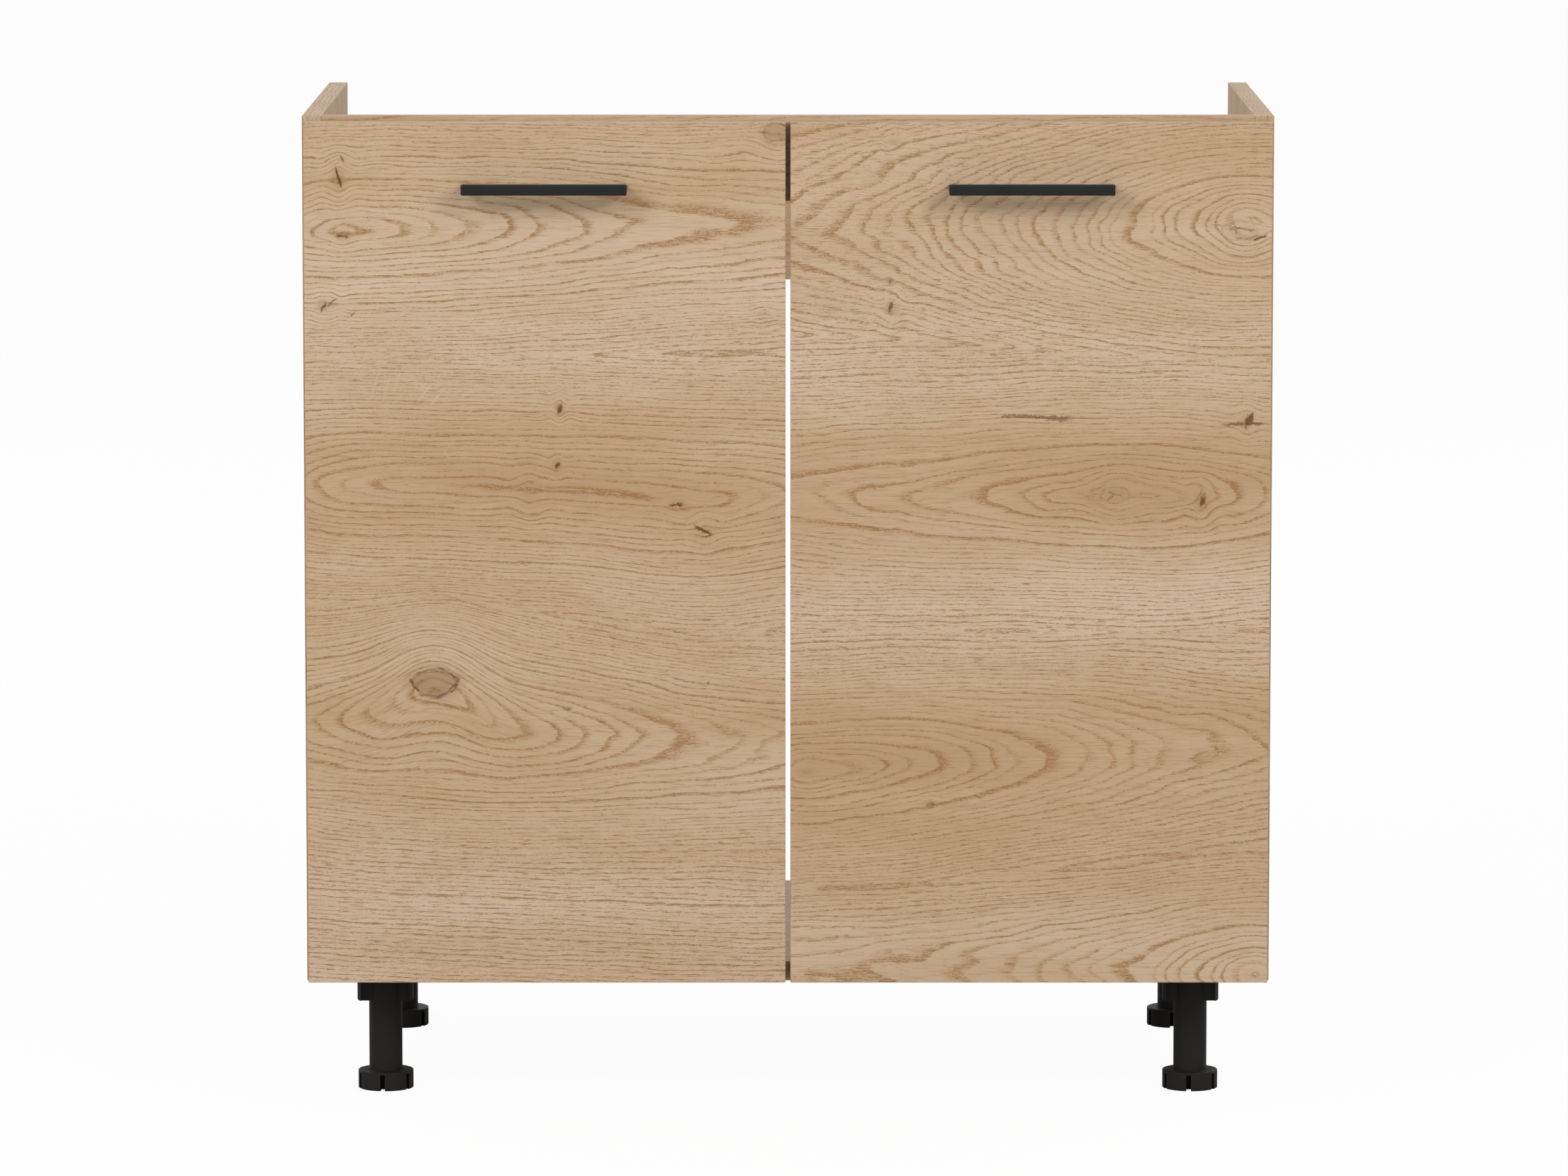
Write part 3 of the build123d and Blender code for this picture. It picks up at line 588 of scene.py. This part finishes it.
def makeWearGroup():
    # patchy tone, fine speckle and rubbed places, for metal, paint and plastic
    look = wearLook
    tree, source, result = newGroup(
        "rubbedSurface",
        sockets("vector", "Place") + sockets("number", "PatchScale", "GrainScale"),
        sockets("number", "Patch", "Grain", "Rub"),
    )
    patch = noise(tree, source["Place"], *look["patch"], source["PatchScale"])
    grain = noise(tree, source["Place"], *look["grain"], source["GrainScale"])
    worn, speckled = ramp(tree, patch, *look["patchEdge"]), ramp(tree, grain, *look["grainEdge"])
    fill(tree, result, Patch=patch, Grain=grain, Rub=calc(tree, "MULTIPLY", worn, speckled))
    return tree


wearGroup = makeWearGroup()


def plainMaterial(name, base, worn, roughness, grain, patch=30.0, metallic=0.0, specular=0.5,
                  bump=0.00004, stretch=(1.0, 1.0, 1.0)):
    material, tree, shader = newMaterial(name)
    spot = addNode(tree, "ShaderNodeTexCoord")
    shaped = addNode(tree, "ShaderNodeMapping", {"Vector": spot.outputs["Object"], "Scale": stretch})
    wear = place(tree, wearGroup, Place=shaped.outputs[0], PatchScale=patch, GrainScale=grain)
    mixed = blendColour(tree, calc(tree, "MULTIPLY", wear["Patch"], wearLook["patchTone"]), base, worn)
    mixed = blendColour(tree, calc(tree, "MULTIPLY", wear["Rub"], wearLook["rubTone"]), mixed, worn)
    rough = calc(tree, "ADD", swing(tree, wear["Grain"], wearLook["spread"]), roughness)
    rough = calc(tree, "ADD", swing(tree, wear["Patch"], wearLook["spread"]), rough)
    finishShader(tree, shader, mixed, rough, wear["Grain"], wearLook["relief"], bump)
    setShader(shader, Metallic=metallic, Specular_IOR_Level=specular)
    return material


finishes = {
    "black_handle": plainMaterial("handlePowderCoat", srgb(12, 12, 12), srgb(18, 18, 18), roughness=0.34,
                                  specular=0.36, grain=2600.0, bump=0.00003),
    "black_plastic": plainMaterial("legPlastic", srgb(30, 29, 28), srgb(36, 35, 34), roughness=0.55,
                                   specular=0.14, grain=1800.0, bump=0.00005),
    "nickel_hinge": plainMaterial("hingeNickel", srgb(205, 202, 196), srgb(176, 172, 165), metallic=1.0,
                                  roughness=0.3, grain=900.0, patch=60.0, bump=0.00001,
                                  stretch=(1.0, 0.15, 1.0)),
    "zinc_screw": plainMaterial("screwZinc", srgb(200, 202, 205), srgb(165, 168, 172), metallic=1.0,
                                roughness=0.35, grain=2500.0, patch=200.0, bump=0.00001),
    "cast_cam": plainMaterial("camCastZinc", srgb(178, 179, 182), srgb(140, 141, 145), metallic=1.0,
                              roughness=0.45, grain=1800.0, patch=150.0, bump=0.00003),
    "beech_dowel": plainMaterial("dowelBeech", srgb(214, 182, 140), srgb(190, 150, 105), roughness=0.6,
                                 grain=700.0, patch=90.0, stretch=(0.1, 1.0, 1.0)),
    "clear_bumper": plainMaterial("bumperSilicone", srgb(226, 226, 220), srgb(206, 206, 198),
                                  roughness=0.25, grain=600.0, patch=120.0, bump=0.00001),
}
for row in frame["record"]["subparts"]:
    if row["material_slot"] in finishes:
        dress(row["node"], finishes[row["material_slot"]])
print("metal and plastic finished")


# screws and pads: Geometry Nodes at the places that the frame gives

sameVertex = 0.01 * mm  # closer corners of a CAD mesh are one


def islandBoxes(node):  # the low and high corner of each separate solid of a node
    cad = bmesh.new()
    cad.from_mesh(frame["nodes"][node].data)
    bmesh.ops.remove_doubles(cad, verts=cad.verts, dist=sameVertex)
    seen, boxes = set(), []
    for first in cad.verts:
        if first.index in seen:
            continue
        seen.add(first.index)
        wave, members = [first], [first.co.copy()]
        while wave:
            vertex = wave.pop()
            for edge in vertex.link_edges:
                other = edge.other_vert(vertex)
                if other.index not in seen:
                    seen.add(other.index)
                    wave.append(other)
                    members.append(other.co.copy())
        low = Vector([min(point[axis] for point in members) for axis in range(3)])
        high = Vector([max(point[axis] for point in members) for axis in range(3)])
        boxes.append((low, high))
    cad.free()
    return boxes


def newShapeTree(name, numbers):
    tree = bpy.data.node_groups.new(name, "GeometryNodeTree")
    labels = [("Points", "Geometry")] + [(label, "Float") for label in numbers] + [("Finish", "Material")]
    for label, kind in labels:
        tree.interface.new_socket(label, in_out="INPUT", socket_type="NodeSocket" + kind)
    tree.interface.new_socket("Geometry", in_out="OUTPUT", socket_type="NodeSocketGeometry")
    return tree, tree.nodes.new("NodeGroupInput").outputs, tree.nodes.new("NodeGroupOutput").inputs


def raised(tree, shape, z):
    inputs = {"Geometry": shape, "Translation": joinVector(tree, 0.0, 0.0, z)}
    return addNode(tree, "GeometryNodeTransform", inputs).outputs[0]


def finishTree(tree, source, result, shape):  # one shape at each point, its +Z turned along the point's aim
    aim = addNode(tree, "GeometryNodeInputNamedAttribute", {"Name": "aim"}, data_type="FLOAT_VECTOR")
    inputs = {"Vector": aim.outputs[0]}
    turn = addNode(tree, "FunctionNodeAlignRotationToVector", inputs, axis="Z").outputs[0]
    points = addNode(tree, "GeometryNodeMeshToPoints", {"Mesh": source["Points"]}).outputs[0]
    inputs = {"Points": points, "Instance": shape, "Rotation": turn}
    spread = addNode(tree, "GeometryNodeInstanceOnPoints", inputs).outputs[0]
    solid = addNode(tree, "GeometryNodeRealizeInstances", {"Geometry": spread}).outputs[0]
    inputs = {"Geometry": solid, "Material": source["Finish"]}
    tree.links.new(addNode(tree, "GeometryNodeSetMaterial", inputs).outputs[0], result[0])


screwShape = {
    "headSides": 28, "headRows": 2, "headTop": 0.78,  # the top's share of the head's radius
    "barLength": 1.15, "barRaise": -0.9, "recess": 0.24,  # the cross in the head
    "shankSides": 20, "shankRows": 3, "tip": 0.55, "root": 0.8,  # shares of the shank's radius
    "turnSteps": 14, "ribSides": 4, "rib": 0.22, "pitch": 1.4 * mm,
    "threadFrom": 0.1, "threadLength": 0.86, "pathRadius": 0.76, "pathTaper": 0.8,
}


def makeScrewTree():
    shape = screwShape
    tree, source, result = newShapeTree("crossScrew", ["HeadRadius", "HeadHeight", "ShankRadius", "Length",
                                                       "ThreadPitch", "ThreadDepth", "RecessWidth"])

    def share(label, amount):
        return calc(tree, "MULTIPLY", source[label], amount)

    def cone(sides, rows, top, bottom, height):
        inputs = {"Vertices": sides, "Side Segments": rows, "Radius Top": top, "Radius Bottom": bottom,
                  "Depth": height}
        return addNode(tree, "GeometryNodeMeshCone", inputs).outputs["Mesh"]

    headTop = share("HeadRadius", shape["headTop"])
    head = cone(shape["headSides"], shape["headRows"], source["HeadRadius"], headTop, source["HeadHeight"])
    head = raised(tree, head, share("HeadHeight", -1.0))
    cut = addNode(tree, "GeometryNodeMeshBoolean", {"Mesh 1": head}, operation="DIFFERENCE")
    barLength = share("HeadRadius", shape["barLength"])
    for wide, deep in ((barLength, source["RecessWidth"]), (source["RecessWidth"], barLength)):
        size = joinVector(tree, wide, deep, source["HeadHeight"])
        bar = addNode(tree, "GeometryNodeMeshCube", {"Size": size}).outputs["Mesh"]
        tree.links.new(raised(tree, bar, share("HeadHeight", shape["barRaise"])), cut.inputs["Mesh 2"])

    tip, root = share("ShankRadius", shape["tip"]), share("ShankRadius", shape["root"])
    shank = cone(shape["shankSides"], shape["shankRows"], tip, root, source["Length"])
    threadLength = share("Length", shape["threadLength"])
    pathRadius = share("ShankRadius", shape["pathRadius"])
    endRadius = calc(tree, "MULTIPLY", pathRadius, shape["pathTaper"])
    turns = calc(tree, "DIVIDE", threadLength, source["ThreadPitch"])
    inputs = {"Resolution": shape["turnSteps"], "Rotations": turns, "Start Radius": pathRadius,
              "End Radius": endRadius, "Height": threadLength}
    spiral = addNode(tree, "GeometryNodeCurveSpiral", inputs).outputs[0]
    inputs = {"Resolution": shape["ribSides"], "Radius": source["ThreadDepth"]}
    rib = addNode(tree, "GeometryNodeCurvePrimitiveCircle", inputs).outputs[0]
    inputs = {"Curve": spiral, "Profile Curve": rib, "Fill Caps": True}
    thread = addNode(tree, "GeometryNodeCurveToMesh", inputs).outputs[0]
    thread = raised(tree, thread, share("Length", shape["threadFrom"]))
    joined = addNode(tree, "GeometryNodeJoinGeometry")
    for item in (thread, shank, cut.outputs[0]):
        tree.links.new(item, joined.inputs[0])
    finishTree(tree, source, result, joined.outputs[0])
    return tree


padShape = {"Segments": 28, "Rings": 16, "Radius": 1.0}  # a ball that is then shaped to each pad


def makePadTree():
    tree, source, result = newShapeTree("softPad", ["Radius", "Height"])
    ball = addNode(tree, "GeometryNodeMeshUVSphere", padShape).outputs["Mesh"]
    where = splitVector(tree, addNode(tree, "GeometryNodeInputPosition").outputs[0])
    x, y = [calc(tree, "MULTIPLY", where[axis], source["Radius"]) for axis in (0, 1)]
    z = calc(tree, "MULTIPLY", calc(tree, "MAXIMUM", where[2], 0.0), source["Height"])
    inputs = {"Geometry": ball, "Position": joinVector(tree, x, y, z)}
    finishTree(tree, source, result, addNode(tree, "GeometryNodeSetPosition", inputs).outputs[0])
    return tree


def setInput(tree, modifier, label, value):
    item = next(item for item in tree.interface.items_tree if item.name == label and item.in_out == "INPUT")
    modifier[item.identifier] = value


def scatter(name, tree, points, aims, values, finish):
    mesh = bpy.data.meshes.new(name + "Points")
    mesh.from_pydata([tuple(point) for point in points], [], [])
    numbers = [number for aim in aims for number in aim]
    mesh.attributes.new("aim", "FLOAT_VECTOR", "POINT").data.foreach_set("vector", numbers)
    holder = bpy.data.objects.new(name + "Holder", mesh)
    scene.collection.objects.link(holder)
    modifier = holder.modifiers.new("shape", "NODES")
    modifier.node_group = tree
    for label, value in values.items():
        setInput(tree, modifier, label, value)
    setInput(tree, modifier, "Finish", finish)
    bpy.context.view_layer.update()
    solid = bpy.data.meshes.new_from_object(holder.evaluated_get(bpy.context.evaluated_depsgraph_get()))
    bpy.data.objects.remove(holder)
    piece = bpy.data.objects.new(name, solid)
    scene.collection.objects.link(piece)
    return piece


screwTree, padTree = makeScrewTree(), makePadTree()
screwSets = {
    # body, axis, which end the head is on, head height in millimetres, shank's share of the head's radius
    "leg_screws": ("carcass", 2, "low", 1.8, 0.486),
    "hinge_plate_screws": ("carcass", 0, "middle", 2.0, 0.595),
    "hinge_cup_screws_left": ("door_left", 1, "high", 0.7, 0.547),
    "hinge_cup_screws_right": ("door_right", 1, "high", 0.7, 0.547),
    "handle_screws_left": ("door_left", 1, "high", 2.2, 0.5),
    "handle_screws_right": ("door_right", 1, "high", 2.2, 0.5),
}
for node, (body, axis, headEnd, headHeight, shank) in screwSets.items():
    points, aims, headHeight, sideways = [], [], headHeight * mm, (axis + 1) % 3
    for low, high in islandBoxes(node):
        point, aim = (low + high) / 2, Vector((0, 0, 0))
        headAt = headEnd
        if headEnd == "middle":  # the hinge plates' screws face the middle of the cabinet
            headAt = "high" if point.x < 0 else "low"
        aim[axis] = -1.0 if headAt == "high" else 1.0
        point[axis] = (high if headAt == "high" else low)[axis] + aim[axis] * headHeight
        points.append(point)
        aims.append(aim)
        length, radius = high[axis] - low[axis] - headHeight, (high[sideways] - low[sideways]) / 2
    values = {"HeadRadius": radius, "HeadHeight": headHeight, "RecessWidth": radius * screwShape["recess"],
              "ShankRadius": radius * shank, "Length": length, "ThreadPitch": screwShape["pitch"],
              "ThreadDepth": radius * shank * screwShape["rib"]}
    piece = scatter(node + "_cross", screwTree, points, aims, values, finishes["zinc_screw"])
    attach(piece, body)
    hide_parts(node)
for side in ("left", "right"):
    boxes = islandBoxes("door_bumpers_" + side)
    points = [Vector(((low.x + high.x) / 2, low.y, (low.z + high.z) / 2)) for low, high in boxes]
    size = boxes[0][1] - boxes[0][0]
    piece = scatter("bumper_pads_" + side, padTree, points, [Vector((0, 1, 0))] * len(points),
                    {"Radius": size.x / 2, "Height": size.y}, finishes["clear_bumper"])
    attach(piece, "door_" + side)
    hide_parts("door_bumpers_" + side)
print("screws and pads made")


# floor, light, camera

studio = {
    "floorSize": 90.0, "floorRoughness": 0.9, "floorSpecular": 0.1,
    "floorTone": 0.6, "floorSeen": 0.95,  # as the light falls on it, and as the camera sees it
    "floorGlow": 0.95,  # how much of what the camera sees is plain white; the rest takes the shadow
    "worldLevel": 0.47, "aim": (0.0, 0.0, 0.4),  # the aim of every lamp
}
lamps = [
    # name, watts, width, height, place
    ("lowLeft", 38.0, 2.0, 2.0, (-3.6, -4.6, 2.4)),
    ("lowRight", 38.0, 2.0, 2.0, (3.6, -4.6, 2.4)),
    ("highLeft", 87.0, 2.0, 1.8, (-3.2, -4.2, 3.4)),
    ("highRight", 87.0, 2.0, 1.8, (3.2, -4.2, 3.4)),
    ("rearLeft", 50.0, 2.2, 2.0, (-3.4, 4.6, 2.8)),
    ("rearRight", 50.0, 2.2, 2.0, (3.4, 4.6, 2.8)),
]
white = (1.0, 1.0, 1.0, 1.0)

floorMesh = bpy.data.meshes.new("floorMesh")
reach = studio["floorSize"] / 2
corners = [(-reach, -reach, 0), (reach, -reach, 0), (reach, reach, 0), (-reach, reach, 0)]
floorMesh.from_pydata(corners, [], [(0, 1, 2, 3)])
floor = bpy.data.objects.new("floor", floorMesh)
scene.collection.objects.link(floor)
floorFinish, tree, shader = newMaterial("floorWhite")
setShader(shader, Roughness=studio["floorRoughness"], Specular_IOR_Level=studio["floorSpecular"])
glow = addNode(tree, "ShaderNodeEmission", {"Color": white, "Strength": 1.0})
rays = addNode(tree, "ShaderNodeLightPath").outputs
paler = studio["floorSeen"] - studio["floorTone"]
tone = calc(tree, "MULTIPLY_ADD", rays["Is Camera Ray"], paler, studio["floorTone"])
grey = addNode(tree, "ShaderNodeCombineColor", {0: tone, 1: tone, 2: tone}).outputs[0]
tree.links.new(grey, shader.inputs["Base Color"])
seen = calc(tree, "MAXIMUM", rays["Is Camera Ray"], rays["Is Transmission Ray"])
seen = calc(tree, "MULTIPLY", seen, studio["floorGlow"])
mixer = addNode(tree, "ShaderNodeMixShader", {0: seen, 1: shader.outputs[0], 2: glow.outputs[0]})
tree.links.new(mixer.outputs[0], tree.nodes["Material Output"].inputs[0])
floorMesh.materials.append(floorFinish)

world = bpy.data.worlds.new("studioWorld")
scene.world = world
world.use_nodes = True
tree = world.node_tree
tree.nodes.clear()
rays = addNode(tree, "ShaderNodeLightPath").outputs
shown = chain(tree, "MAXIMUM", rays["Is Camera Ray"], rays["Is Glossy Ray"], rays["Is Transmission Ray"])
level = calc(tree, "MULTIPLY_ADD", shown, 1.0 - studio["worldLevel"], studio["worldLevel"])
background = addNode(tree, "ShaderNodeBackground", {"Color": white, "Strength": level})
tree.links.new(background.outputs[0], addNode(tree, "ShaderNodeOutputWorld").inputs[0])

for name, watts, width, height, spot in lamps:
    lamp = bpy.data.lights.new(name, "AREA")
    lamp.energy, lamp.shape, lamp.size, lamp.size_y = watts, "RECTANGLE", width, height
    holder = bpy.data.objects.new(name, lamp)
    holder.location = spot
    holder.rotation_euler = (Vector(studio["aim"]) - Vector(spot)).to_track_quat("-Z", "Y").to_euler()
    scene.collection.objects.link(holder)

view = {"place": (-0.00327, -7.3775, 1.297), "tilt": 6.894, "lens": 200.6, "sensor": 36.0, "farEnd": 200.0}
lens = bpy.data.cameras.new("photoCamera")
lens.lens, lens.sensor_width, lens.sensor_fit = view["lens"], view["sensor"], "HORIZONTAL"
lens.clip_end = view["farEnd"]
camera = bpy.data.objects.new("photoCamera", lens)
camera.location = view["place"]
camera.rotation_euler = (math.radians(90.0 - view["tilt"]), 0.0, 0.0)
scene.collection.objects.link(camera)
scene.camera = camera
scene.view_settings.view_transform = "Standard"
print("studio set")
